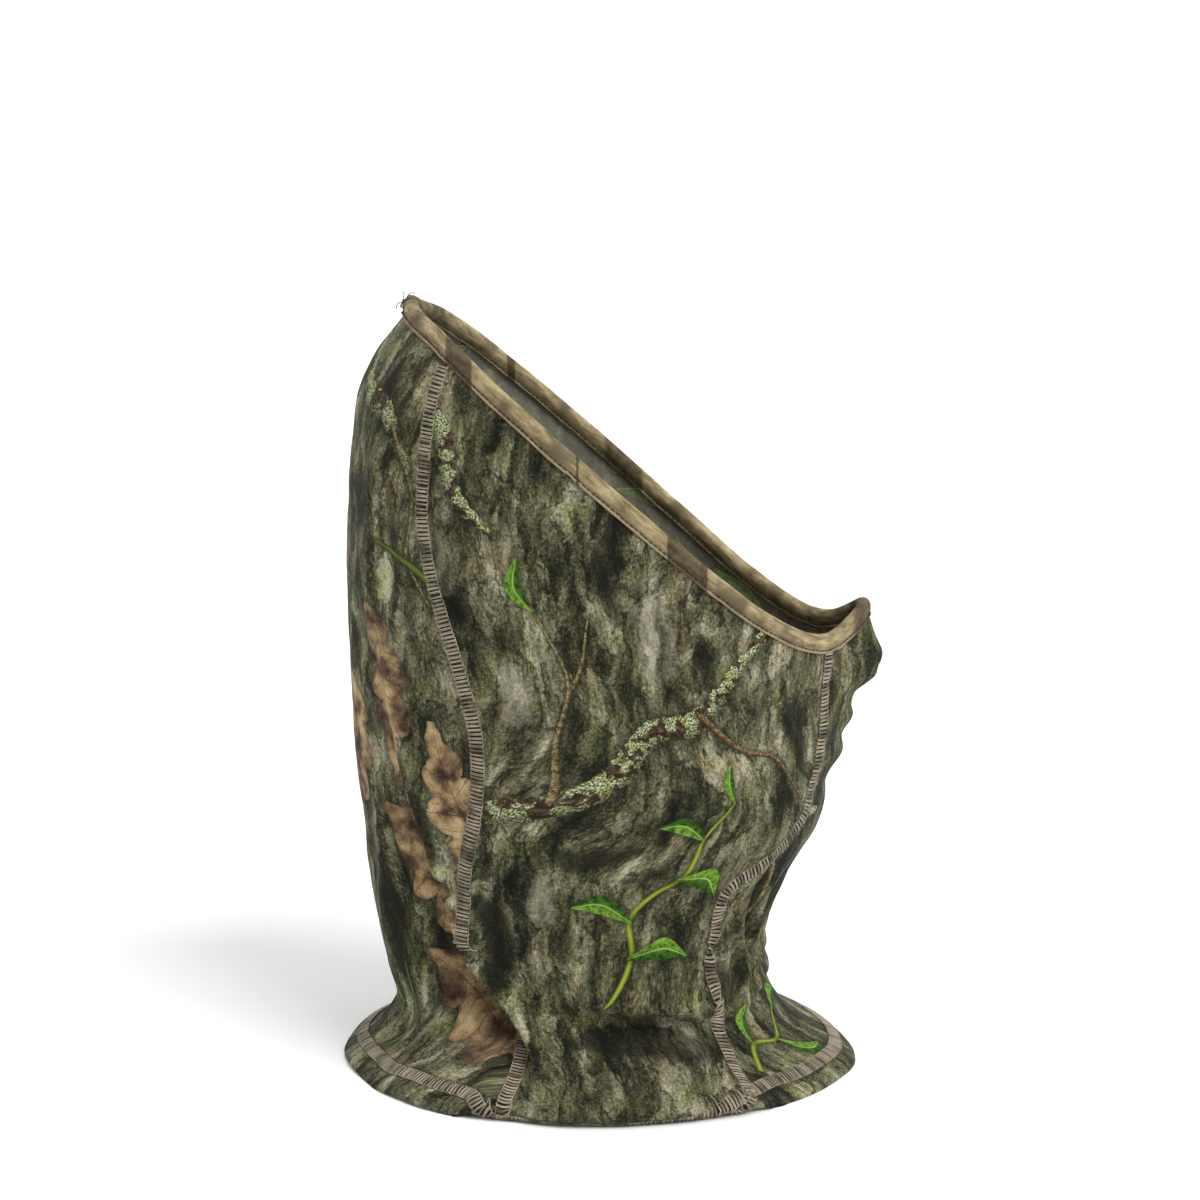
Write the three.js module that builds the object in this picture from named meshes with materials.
// Camo face mask: a pull-on half mask and neck gaiter of stretch knit, in its worn shape.
// Four shaped panels (face, two sides, back) are joined by four flatlock seams. A folded tape
// binds the slanting face opening, with an elastic inside, and a zigzag cover stitch holds the
// turned-up hem, which spreads into a skirt on the surface that the mask stands on.
//
// Millimetres, +Z up, +X the way the face looks, +Y the wearer's left. The origin is the centre
// of the bounding box's bottom, on that surface.
import * as THREE from "three";

// ---- Driving dimensions ------------------------------------------------------------------
const CLOTH = 1.0; // thickness of the knit
const GAP = 0.35; // clearance between neighbouring solids
const SEAM_WIDTH = 6.3; // across a flatlock seam's threads
const THREAD = 0.6; // how far a seam's threads stand off the cloth
const BINDING_WIDTH = 6.6; // of the folded tape, from its top fold to its lower edge
const BINDING_CLOTH = 0.8; // thickness of the tape
const BINDING_RISE = 1.6; // of the tape's fold above the panels' raw edge
const ELASTIC_WIDTH = 4.5;
const ELASTIC = 0.6; // thickness of the elastic
const ELASTIC_EASE = 0.25; // by which the elastic is clearer of the cloth than the rest
const TOPSTITCH_DROP = 4.2; // from the panels' raw edge down to the tape's topstitching
const TOPSTITCH = 0.7; // width of a line of topstitching
const JOIN_LENGTH = 9; // of the bar-tacked join in the tape

// ---- Outlines, each a list of [height, value] --------------------------------------------
// The centre line at the front, before the face's relief.
const FRONT = [
  [0, 90], [4, 86], [10, 74], [18, 63.5], [28, 58], [42, 56.5], [56, 58], [70, 64],
  [84, 71.5], [98, 76], [112, 78.5], [128, 81], [145, 83], [170, 85.5], [280, 86],
];
// The centre line at the back, which hangs off the back of the head.
const BACK = [
  [0, -98.5], [4, -95], [9, -87], [15, -81], [22, -78.5], [36, -83], [52, -86.5], [76, -90],
  [100, -92.5], [130, -94.5], [170, -95], [205, -94.3], [231, -92.5], [246, -90],
  [260, -83.5], [271, -75.5], [280, -69],
];
const HALF_WIDTH = [
  [0, 88], [4, 85.5], [10, 77], [18, 68], [28, 62], [42, 59.5], [56, 60], [70, 62.5],
  [90, 66], [115, 70], [145, 73.5], [175, 76], [205, 77], [230, 76], [250, 72.5],
  [265, 67], [280, 60],
];
// Where a level's front and back halves meet.
const MIDDLE = [[0, -4], [40, -8], [100, -12], [280, -12]];
// How far the cloth stands out over the chin, the lips and the nose.
const CHIN = { spread: 18, height: [[68, 0], [78, 1], [88, 2.8], [98, 2.4], [108, 0]] };
const LIPS = {
  spread: 20,
  height: [[104, 0], [108, 2], [114.5, 5.5], [121, 4.5], [127.5, 7.5], [132, 6], [146, 0]],
};
const NOSE = {
  spread: 12,
  height: [[131, 0], [136.5, 3], [140, 9], [143, 13], [150, 15.5], [157, 11.5], [163, 8.5],
    [170, 6], [190, 5]],
};
// The face opening's height against x: a straight slope from the crown, level at the cheeks.
const RIM = [
  [-80, 286], [-71, 277.5], [-60, 270], [-40, 252.8], [0, 218], [30, 191.9], [50, 175],
  [60, 168], [68, 163.5], [75, 161], [82, 160.5], [92, 161],
];
const NOSE_BRIDGE = { rise: 8, spread: 14 };
// Each seam's angle from the front centre, in degrees.
const FRONT_SEAM = [
  [0, 61], [12, 52], [27, 46], [42, 49], [57, 47.5], [74, 47], [86, 31], [98, 23], [120, 22],
  [150, 23], [170, 23],
];
const REAR_SEAM = [
  [0, 111], [11, 110], [26, 110], [42, 118], [60, 122], [81, 120], [102, 116], [124, 114],
  [138, 115], [162, 120], [186, 126], [206, 129], [227, 129.5], [280, 127],
];
// The deep soft fold that hangs under the back of the head on each side: its crest's angle,
// the depth of the valley behind the crest, and the angles between and across them.
const FOLD = {
  crest: [[0, 100], [20, 105], [26, 111], [40, 119], [58, 126], [75, 131], [95, 137],
    [115, 150], [155, 165], [280, 168]],
  depth: [[0, 0], [12, 0.3], [20, 1.5], [32, 5.5], [44, 7.5], [58, 7.5], [75, 6.5], [95, 5],
    [115, 3.5], [140, 1.5], [165, 0], [280, 0]],
  behind: 13,
  spread: 10,
  crest_share: 0.25, // of the depth, by which the crest stands out
};
// Rows of vertices: lengths of cloth up from the hem's edge, then a number more above those.
const HEM_ROWS = [0, 6.8, 12.8, 15, 21];
const HEM_STITCH_ROWS = [1, 2];
const HEM_LAYERED_ROWS = 3; // how many of the rows are in the two layers of the turned-up hem
const UPPER_ROWS = 19;
const EDGE_ROW_DROP = 8; // from the raw edge down to the row below it
const COLUMNS = { face: 14, side: 12, back: 20 };
// Base colours.
const BARK = 0x6f6a55;
const LEAVES = 0x86704f;
const TAPE = 0x6b5f4b;
const THREADS = 0xb5a79b;
const DARK_THREAD = 0x4f483c;
const ELASTIC_WHITE = 0xe4e2dc;

const radians = THREE.MathUtils.degToRad;

// A smooth function through points: cubic Hermite pieces with centred slopes.
function smooth(points) {
  const slope = (i) => {
    const [t0, v0] = points[Math.max(i - 1, 0)];
    const [t1, v1] = points[Math.min(i + 1, points.length - 1)];
    return (v1 - v0) / (t1 - t0);
  };
  return (t) => {
    const last = points.length - 1;
    if (t <= points[0][0]) return points[0][1];
    if (t >= points[last][0]) return points[last][1];
    const i = points.findIndex((p) => p[0] > t) - 1;
    const [t0, v0] = points[i];
    const [t1, v1] = points[i + 1];
    const h = t1 - t0;
    const s = (t - t0) / h;
    const a = (1 + 2 * s) * (1 - s) ** 2 * v0 + s * (1 - s) ** 2 * h * slope(i);
    const b = s * s * (3 - 2 * s) * v1 + s * s * (s - 1) * h * slope(i + 1);
    return a + b;
  };
}

const front = smooth(FRONT);
const back = smooth(BACK);
const halfWidth = smooth(HALF_WIDTH);
const middle = smooth(MIDDLE);
const rim = smooth(RIM);
const frontSeam = smooth(FRONT_SEAM);
const rearSeam = smooth(REAR_SEAM);
const foldCrest = smooth(FOLD.crest);
const foldDepth = smooth(FOLD.depth);
const bump = (x, spread) => Math.exp(-((x / spread) ** 2));
const reliefs = [CHIN, LIPS, NOSE].map(({ spread, height }) => ({ spread, height: smooth(height) }));

// ---- The cloth's middle surface ----------------------------------------------------------
// angle runs from 0 at the front centre to 180 degrees at the back centre on the wearer's
// right, and on to 360 round the left. The mask is the same on both sides.
function skin(angle, z) {
  const turn = angle > 180 ? 360 - angle : angle;
  const side = angle > 180 ? 1 : -1;
  const a = radians(turn);
  const mid = middle(z);
  const reach = turn < 90 ? front(z) - mid : mid - back(z);
  const valley = bump(turn - foldCrest(z) - FOLD.behind, FOLD.spread);
  const crest = bump(turn - foldCrest(z), FOLD.spread) * FOLD.crest_share;
  const inward = foldDepth(z) * (valley - crest);
  const x = mid + Math.cos(a) * (reach - inward);
  const y = Math.sin(a) * (halfWidth(z) - inward);
  const face = turn < 90
    ? reliefs.reduce((sum, r) => sum + r.height(z) * bump(y, r.spread), 0)
    : 0;
  return new THREE.Vector3(x + face, side * y, z);
}

// Where the panels' raw edge crosses an angle: the height at which skin meets the rim.
function rimHeight(angle) {
  let z = 200;
  for (let i = 0; i < 60; i++) {
    const p = skin(angle, z);
    const bridge = p.x > 0 ? NOSE_BRIDGE.rise * bump(p.y, NOSE_BRIDGE.spread) : 0;
    z += (rim(p.x) + bridge - z) * 0.5;
  }
  return z;
}

// The surface's point and outward normal at an angle and height.
function surface(angle, z) {
  const step = 0.2;
  const p = skin(angle, z);
  const across = skin(angle + step, z).sub(skin(angle - step, z)).divideScalar(2 * step);
  const upward = skin(angle, z + step).sub(skin(angle, Math.max(z - step, 0)))
    .divideScalar(z < step ? step : 2 * step);
  const normal = upward.clone().cross(across).normalize();
  return { p, across, upward, normal, angle, z };
}

// The surface a distance away from s along the unit direction d, which lies in the cloth.
function walk(s, d, distance) {
  const uu = s.across.dot(s.across);
  const uv = s.across.dot(s.upward);
  const vv = s.upward.dot(s.upward);
  const du = s.across.dot(d) * distance;
  const dv = s.upward.dot(d) * distance;
  const det = uu * vv - uv * uv;
  return surface(s.angle + (du * vv - dv * uv) / det, s.z + (dv * uu - du * uv) / det);
}

const lifted = (s, distance) => s.p.clone().addScaledVector(s.normal, distance);

// ---- Solids ------------------------------------------------------------------------------
// A closed solid between two grids of points of the same size, rows by columns. When ring is
// true its last row joins its first, and otherwise its two ends are closed.
function slab(outer, inner, ring) {
  const rows = outer.length;
  const columns = outer[0].length;
  const points = [...outer.flat(), ...inner.flat()];
  const o = (r, c) => (r % rows) * columns + c;
  const i = (r, c) => o(r, c) + rows * columns;
  const faces = [];
  // Each quad is split along its shorter diagonal.
  const quad = (a, b, c, d) => {
    const across = points[a].distanceTo(points[c]) <= points[b].distanceTo(points[d]);
    faces.push(...(across ? [a, b, c, a, c, d] : [a, b, d, b, c, d]));
  };
  for (let r = 0; r < (ring ? rows : rows - 1); r++) {
    for (let c = 0; c < columns - 1; c++) {
      quad(o(r, c), o(r, c + 1), o(r + 1, c + 1), o(r + 1, c));
      quad(i(r, c), i(r + 1, c), i(r + 1, c + 1), i(r, c + 1));
    }
    quad(o(r, 0), o(r + 1, 0), i(r + 1, 0), i(r, 0));
    quad(o(r, columns - 1), i(r, columns - 1), i(r + 1, columns - 1), o(r + 1, columns - 1));
  }
  for (let c = 0; !ring && c < columns - 1; c++) {
    quad(o(0, c), i(0, c), i(0, c + 1), o(0, c + 1));
    quad(o(rows - 1, c), o(rows - 1, c + 1), i(rows - 1, c + 1), i(rows - 1, c));
  }
  if (volume(points, faces) < 0) faces.reverse();
  const geometry = new THREE.BufferGeometry();
  geometry.setAttribute("position", new THREE.Float32BufferAttribute(points.flatMap((p) => p.toArray()), 3));
  geometry.setIndex(faces);
  return geometry;
}

function volume(points, faces) {
  let six = 0;
  for (let k = 0; k < faces.length; k += 3) {
    const [a, b, c] = [points[faces[k]], points[faces[k + 1]], points[faces[k + 2]]];
    six += a.dot(b.clone().cross(c));
  }
  return six / 6;
}

const mask = new THREE.Group();

function add(name, geometry, color, roughness) {
  const mesh = new THREE.Mesh(geometry, new THREE.MeshStandardMaterial({ color, roughness, metalness: 0 }));
  mesh.name = name;
  mask.add(mesh);
}

// ---- Rows and columns of vertices --------------------------------------------------------
const between = (a, b, share) => a + (b - a) * share;

// The height reached by going a length of cloth up from the hem's edge.
function climb(angle, length) {
  const step = 0.25;
  let z = 0;
  let left = length;
  while (left > 0) {
    const stride = skin(angle, z + step).distanceTo(skin(angle, z));
    z += step * Math.min(left / stride, 1);
    left -= stride;
  }
  return z;
}

// The heights of the vertex rows at an angle, from the hem to the raw edge under the binding.
function rowHeights(angle) {
  const raw = rimHeight(angle);
  const low = HEM_ROWS.map((length) => climb(angle, length));
  const from = low[low.length - 1];
  const upper = Array.from({ length: UPPER_ROWS }, (_, i) =>
    between(from, raw - EDGE_ROW_DROP, ((i + 1) / UPPER_ROWS) ** 1.2),
  );
  return [...low, ...upper, raw];
}

const ROWS = HEM_ROWS.length + UPPER_ROWS + 1;
const rowNumbers = Array.from({ length: ROWS }, (_, r) => r);

// The angles at which a seam crosses each row, on the right side of the mask.
function seamAngles(seam) {
  return rowNumbers.map((r) => {
    let angle = seam(150);
    for (let i = 0; i < 14; i++) angle = between(angle, seam(rowHeights(angle)[r]), 0.7);
    return angle;
  });
}

// ---- Panels ------------------------------------------------------------------------------
const frontAngles = seamAngles(frontSeam);
const rearAngles = seamAngles(rearSeam);
const mirror = (angles) => angles.map((a) => 360 - a);

// The surface a length of cloth further round than s, at the same height.
const roundFrom = (s, length) => surface(s.angle + length / s.across.length(), s.z);

// One row of a panel's stations: at its edges, under the edges of the seams' threads, and
// evenly between those.
function panelRow(r, from, to, columns) {
  const at = (angle) => surface(angle, rowHeights(angle)[r]);
  const edges = [from, to].map((angle) => at(angle));
  const first = roundFrom(edges[0], SEAM_WIDTH / 2).angle;
  const last = roundFrom(edges[1], -SEAM_WIDTH / 2).angle;
  return [
    roundFrom(edges[0], GAP / 2),
    ...Array.from({ length: columns - 1 }, (_, c) => at(between(first, last, c / (columns - 2)))),
    roundFrom(edges[1], -GAP / 2),
  ];
}

// A panel between two seams. The turned-up hem is two layers thick, and its foot lies flat.
function panel(name, from, to, columns, color) {
  const stations = rowNumbers.map((r) => panelRow(r, from[r], to[r], columns));
  const face = (offset, hemOffset) =>
    stations.map((row, r) =>
      row.map((s) => {
        const p = lifted(s, r < HEM_LAYERED_ROWS ? hemOffset : offset);
        return r === 0 ? new THREE.Vector3(p.x, p.y, 0) : p;
      }),
    );
  const outer = face(CLOTH / 2, CLOTH / 2);
  const inner = face(-CLOTH / 2, -1.5 * CLOTH);
  add(name, slab(outer, inner, false), color, 0.9);
  return { stations, outer, inner };
}

const left = mirror(frontAngles);
const facePanel = panel("face_panel", left.map((a) => a - 360), frontAngles, COLUMNS.face, BARK);
const rightPanel = panel("right_side_panel", frontAngles, rearAngles, COLUMNS.side, BARK);
const backPanel = panel("back_panel", rearAngles, mirror(rearAngles), COLUMNS.back, LEAVES);
const leftPanel = panel("left_side_panel", mirror(rearAngles), left, COLUMNS.side, BARK);
const panels = [facePanel, rightPanel, backPanel, leftPanel];

// ---- Flatlock seams ----------------------------------------------------------------------
// The threads over one face of the cloth where panel a meets panel b, from above the hem's
// stitching to below the binding.
function seamThreads(name, a, b, side) {
  const sign = side === "outer" ? 1 : -1;
  const rows = rowNumbers.slice(HEM_LAYERED_ROWS, ROWS - 1);
  const layer = (offset) =>
    rows.map((r) => {
      const last = a[side][r].length - 1;
      const ridge = a[side][r][last].clone().lerp(b[side][r][0], 0.5);
      const points = [a[side][r][last - 1], ridge, b[side][r][1]];
      const normals = [a.stations[r][last - 1], b.stations[r][0], b.stations[r][1]].map((s) => s.normal);
      return points.map((p, k) => p.clone().addScaledVector(normals[k], sign * offset));
    });
  add(name, slab(layer(GAP + THREAD), layer(GAP), false), THREADS, 0.75);
}

const seams = [
  ["right_front_seam", facePanel, rightPanel],
  ["right_rear_seam", rightPanel, backPanel],
  ["left_rear_seam", backPanel, leftPanel],
  ["left_front_seam", leftPanel, facePanel],
];
for (const [name, a, b] of seams) {
  seamThreads(`${name}_cover_threads`, a, b, "outer");
  seamThreads(`${name}_inner_threads`, a, b, "inner");
}

// ---- Hem stitching -----------------------------------------------------------------------
// A ring of threads over one face of the turned-up hem, across the panels and their seams.
function hemThreads(name, side) {
  const sign = side === "outer" ? 1 : -1;
  const layer = (offset) =>
    panels.flatMap((here, k) => {
      const before = panels[(k + panels.length - 1) % panels.length];
      return here.stations[1].slice(0, -1).map((s, c) =>
        HEM_STITCH_ROWS.map((r) => {
          const p = here[side][r][c].clone();
          if (c === 0) p.lerp(before[side][r].at(-1), 0.5);
          return p.addScaledVector(here.stations[r][c].normal, sign * offset);
        }),
      );
    });
  add(name, slab(layer(GAP + THREAD), layer(GAP), true), THREADS, 0.75);
}

hemThreads("hem_outer_stitching", "outer");
hemThreads("hem_inner_stitching", "inner");

// ---- Binding -----------------------------------------------------------------------------
// A frame on the panels' raw edge: across points along the edge, and down into the cloth.
function edgeFrame(angle) {
  const s = surface(angle, rimHeight(angle));
  const ahead = surface(angle + 0.5, rimHeight(angle + 0.5)).p;
  const behind = surface(angle - 0.5, rimHeight(angle - 0.5)).p;
  const along = ahead.sub(behind).normalize();
  const down = along.clone().cross(s.normal).normalize();
  if (down.dot(s.upward) > 0) down.negate();
  return { s, down };
}

// A point at a drop below the raw edge, measured in the cloth, and an offset out from it.
function edgePoint({ s, down }, [drop, offset]) {
  if (drop > 0) return lifted(walk(s, down, drop), offset);
  return lifted(s, offset).addScaledVector(down, drop);
}

const edgeAngles = panels.flatMap((here) => here.stations[ROWS - 1].slice(0, -1).map((s) => s.angle));
const turnsFromJoin = edgeAngles.map((a) => (a + 180) % 360).sort((a, b) => a - b);
const ringFrames = turnsFromJoin.map((a) => edgeFrame((a + 180) % 360));

// Half the join's length, as an angle round the mask.
const joinTurn = JOIN_LENGTH / 2 / surface(180, rimHeight(180)).across.length();
const clearTurn = joinTurn * 1.2;
const openTurns = turnsFromJoin.filter((a) => a > clearTurn + 2 && a < 358 - clearTurn);
const openFrames = [clearTurn, ...openTurns, 360 - clearTurn].map((a) => edgeFrame((a + 180) % 360));
const joinFrames = [-1, -0.5, 0, 0.5, 1].map((share) => edgeFrame(180 + share * joinTurn));

const strip = (frames, profile) => frames.map((frame) => profile.map((point) => edgePoint(frame, point)));

// Where the tape's two legs lie. The elastic is between the cloth and the inner leg.
const elasticFace = -CLOTH / 2 - GAP - ELASTIC_EASE;
const innerLeg = elasticFace - ELASTIC - GAP;
const outerLeg = CLOTH / 2 + GAP;
const legDrop = BINDING_WIDTH - BINDING_RISE;

// A tape folded over the raw edge: its profile, clear of the legs' faces by a distance.
function foldedTape(clear, drop) {
  const [o, i] = [outerLeg + clear, innerLeg - clear];
  const fold = BINDING_CLOTH - BINDING_RISE - clear;
  const middleOfFold = (o + i) / 2;
  return [
    [drop, o], [drop / 2, o], [0, o], [fold * 0.7, between(middleOfFold, o, 0.72)],
    [fold, middleOfFold], [fold * 0.7, between(middleOfFold, i, 0.72)], [0, i], [drop / 2, i],
    [drop, i],
  ];
}

add(
  "edge_binding",
  slab(strip(ringFrames, foldedTape(BINDING_CLOTH, legDrop)), strip(ringFrames, foldedTape(0, legDrop)), true),
  TAPE,
  0.9,
);
const elasticProfile = (offset) => [[GAP, offset], [GAP + ELASTIC_WIDTH, offset]];
add(
  "edge_elastic",
  slab(
    strip(ringFrames, elasticProfile(elasticFace)),
    strip(ringFrames, elasticProfile(elasticFace - ELASTIC)),
    true,
  ),
  ELASTIC_WHITE,
  0.8,
);

// The tape's topstitching, one line on each leg, from one side of the join to the other.
function topstitch(name, offset, height) {
  const line = (at) => [[TOPSTITCH_DROP - TOPSTITCH, at], [TOPSTITCH_DROP, at]];
  add(
    name,
    slab(strip(openFrames, line(offset + height)), strip(openFrames, line(offset)), false),
    DARK_THREAD,
    0.75,
  );
}
topstitch("binding_outer_topstitching", outerLeg + BINDING_CLOTH + GAP, 0.4);
topstitch("binding_inner_topstitching", innerLeg - BINDING_CLOTH - GAP, -0.4);

// The join in the tape: a short bar-tacked piece wrapped over it at the back of the crown.
const joinClear = BINDING_CLOTH + GAP;
add(
  "binding_join",
  slab(
    strip(joinFrames, foldedTape(joinClear + BINDING_CLOTH, legDrop + 0.6)),
    strip(joinFrames, foldedTape(joinClear, legDrop + 0.6)),
    false,
  ),
  TAPE,
  0.9,
);

// ---- Origin ------------------------------------------------------------------------------
// The centre of the bounding box's bottom.
const box = new THREE.Box3().setFromObject(mask);
const centre = box.getCenter(new THREE.Vector3());
mask.children.forEach((mesh) => mesh.geometry.translate(-centre.x, -centre.y, -box.min.z));

export default mask;
